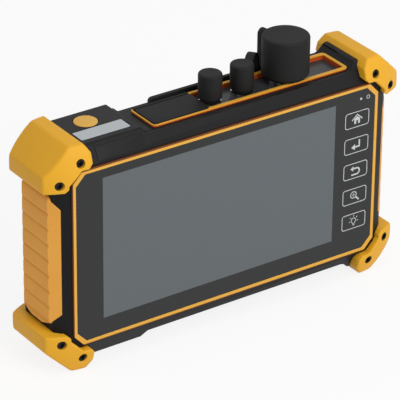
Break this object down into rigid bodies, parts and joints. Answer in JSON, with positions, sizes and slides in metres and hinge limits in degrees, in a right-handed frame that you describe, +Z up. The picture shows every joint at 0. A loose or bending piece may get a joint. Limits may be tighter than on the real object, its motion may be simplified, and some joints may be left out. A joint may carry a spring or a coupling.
{
  "type": "optical time domain reflectometer",
  "caption": "Handheld fibre tester: wide touch screen in a black case with amber corner bumpers and side grips, capped optical ports, a socket flap and a round power button on top.",
  "frame": {"origin": "middle of the footprint, on the surface the bumpers stand on", "axes": "+X to the right of a person facing the screen, screen faces -Y, +Z up"},
  "size_m": [0.235, 0.0488, 0.1558],
  "materials": {
    "orange_rubber": "satin moulded elastomer, amber",
    "grip_rubber": "matt moulded elastomer, amber",
    "trim_plastic": "satin amber plastic",
    "case_plastic": "fine textured black plastic",
    "black_rubber": "matt black rubber",
    "glass": "dark coated cover glass",
    "deck_plastic": "smooth dark grey plastic",
    "seal_line": "amber elastomer line",
    "screw_steel": "blackened steel",
    "steel": "turned nickel-plated metal",
    "ceramic": "white zirconia",
    "alu": "satin aluminium",
    "strip": "satin silver-grey plate",
    "board": "green circuit board",
    "panel": "display module",
    "battery": "wrapped cells"
  },
  "bodies": {
    "housing": {"battery_door": "case_plastic", "battery_door_screws": "screw_steel", "battery_pack": "battery", "bumper_bottom_left": "orange_rubber", "bumper_bottom_right": "orange_rubber", "bumper_top_left": "orange_rubber", "bumper_top_right": "orange_rubber", "card_slot": "steel", "case_screws": "screw_steel", "case_seal": "black_rubber", "charging_socket": "steel", "chassis_plate": "alu", "connector_panel": "case_plastic", "display_panel": "panel", "fault_light_port": "steel", "fault_light_port_sleeve": "ceramic", "front_bezel": "case_plastic", "front_bumper_screws": "screw_steel", "glass_sealing_line": "seal_line", "grip_left": "grip_rubber", "grip_right": "grip_rubber", "identity_strip": "strip", "main_board": "board", "meter_cap_tether": "black_rubber", "optical_module": "alu", "otdr_cap_tether": "black_rubber", "otdr_port": "steel", "otdr_port_sleeve": "ceramic", "port_bay_trim": "trim_plastic", "port_deck": "deck_plastic", "port_flap_hinge": "black_rubber", "power_meter_guide": "steel", "power_meter_port": "steel", "power_switch": "case_plastic", "power_switch_board": "board", "rear_bumper_screws": "screw_steel", "rear_shell": "case_plastic", "socket_well": "deck_plastic", "stand_pin": "steel", "tether_rail": "case_plastic", "touch_glass": "glass", "touch_key_board": "board", "usb_socket": "steel", "vfl_cap_tether": "black_rubber"},
    "power_button": {"power_button": "trim_plastic"},
    "otdr_cap": {"otdr_cap": "black_rubber"},
    "vfl_cap": {"vfl_cap": "black_rubber"},
    "meter_cap": {"meter_cap": "black_rubber"},
    "port_flap": {"port_flap": "black_rubber"},
    "stand": {"rear_stand": "case_plastic"}
  },
  "joints": [
    {"name": "power_button_press", "type": "slide", "parent": "housing", "child": "power_button", "axis": [0, 0, 1], "range_m": [-0.0008, 0], "stiffness_N_per_m": 400, "springref_m": 0.0015},
    {"name": "otdr_cap_lift", "type": "slide", "parent": "housing", "child": "otdr_cap", "axis": [0, 0, 1], "range_m": [0, 0.06], "deforming": ["otdr_cap_tether"]},
    {"name": "vfl_cap_lift", "type": "slide", "parent": "housing", "child": "vfl_cap", "axis": [0, 0, 1], "range_m": [0, 0.06], "deforming": ["vfl_cap_tether"]},
    {"name": "meter_cap_lift", "type": "slide", "parent": "housing", "child": "meter_cap", "axis": [0, 0, 1], "range_m": [0, 0.065], "deforming": ["meter_cap_tether"]},
    {"name": "port_flap_hinge", "type": "hinge", "parent": "housing", "child": "port_flap", "pos_m": [0, 0.0084, 0.13125], "axis": [-1, 0, 0], "range_deg": [0, 100]},
    {"name": "stand_hinge", "type": "hinge", "parent": "housing", "child": "stand", "pos_m": [0, 0.0182, 0.09075], "axis": [1, 0, 0], "range_deg": [0, 60]}
  ]
}
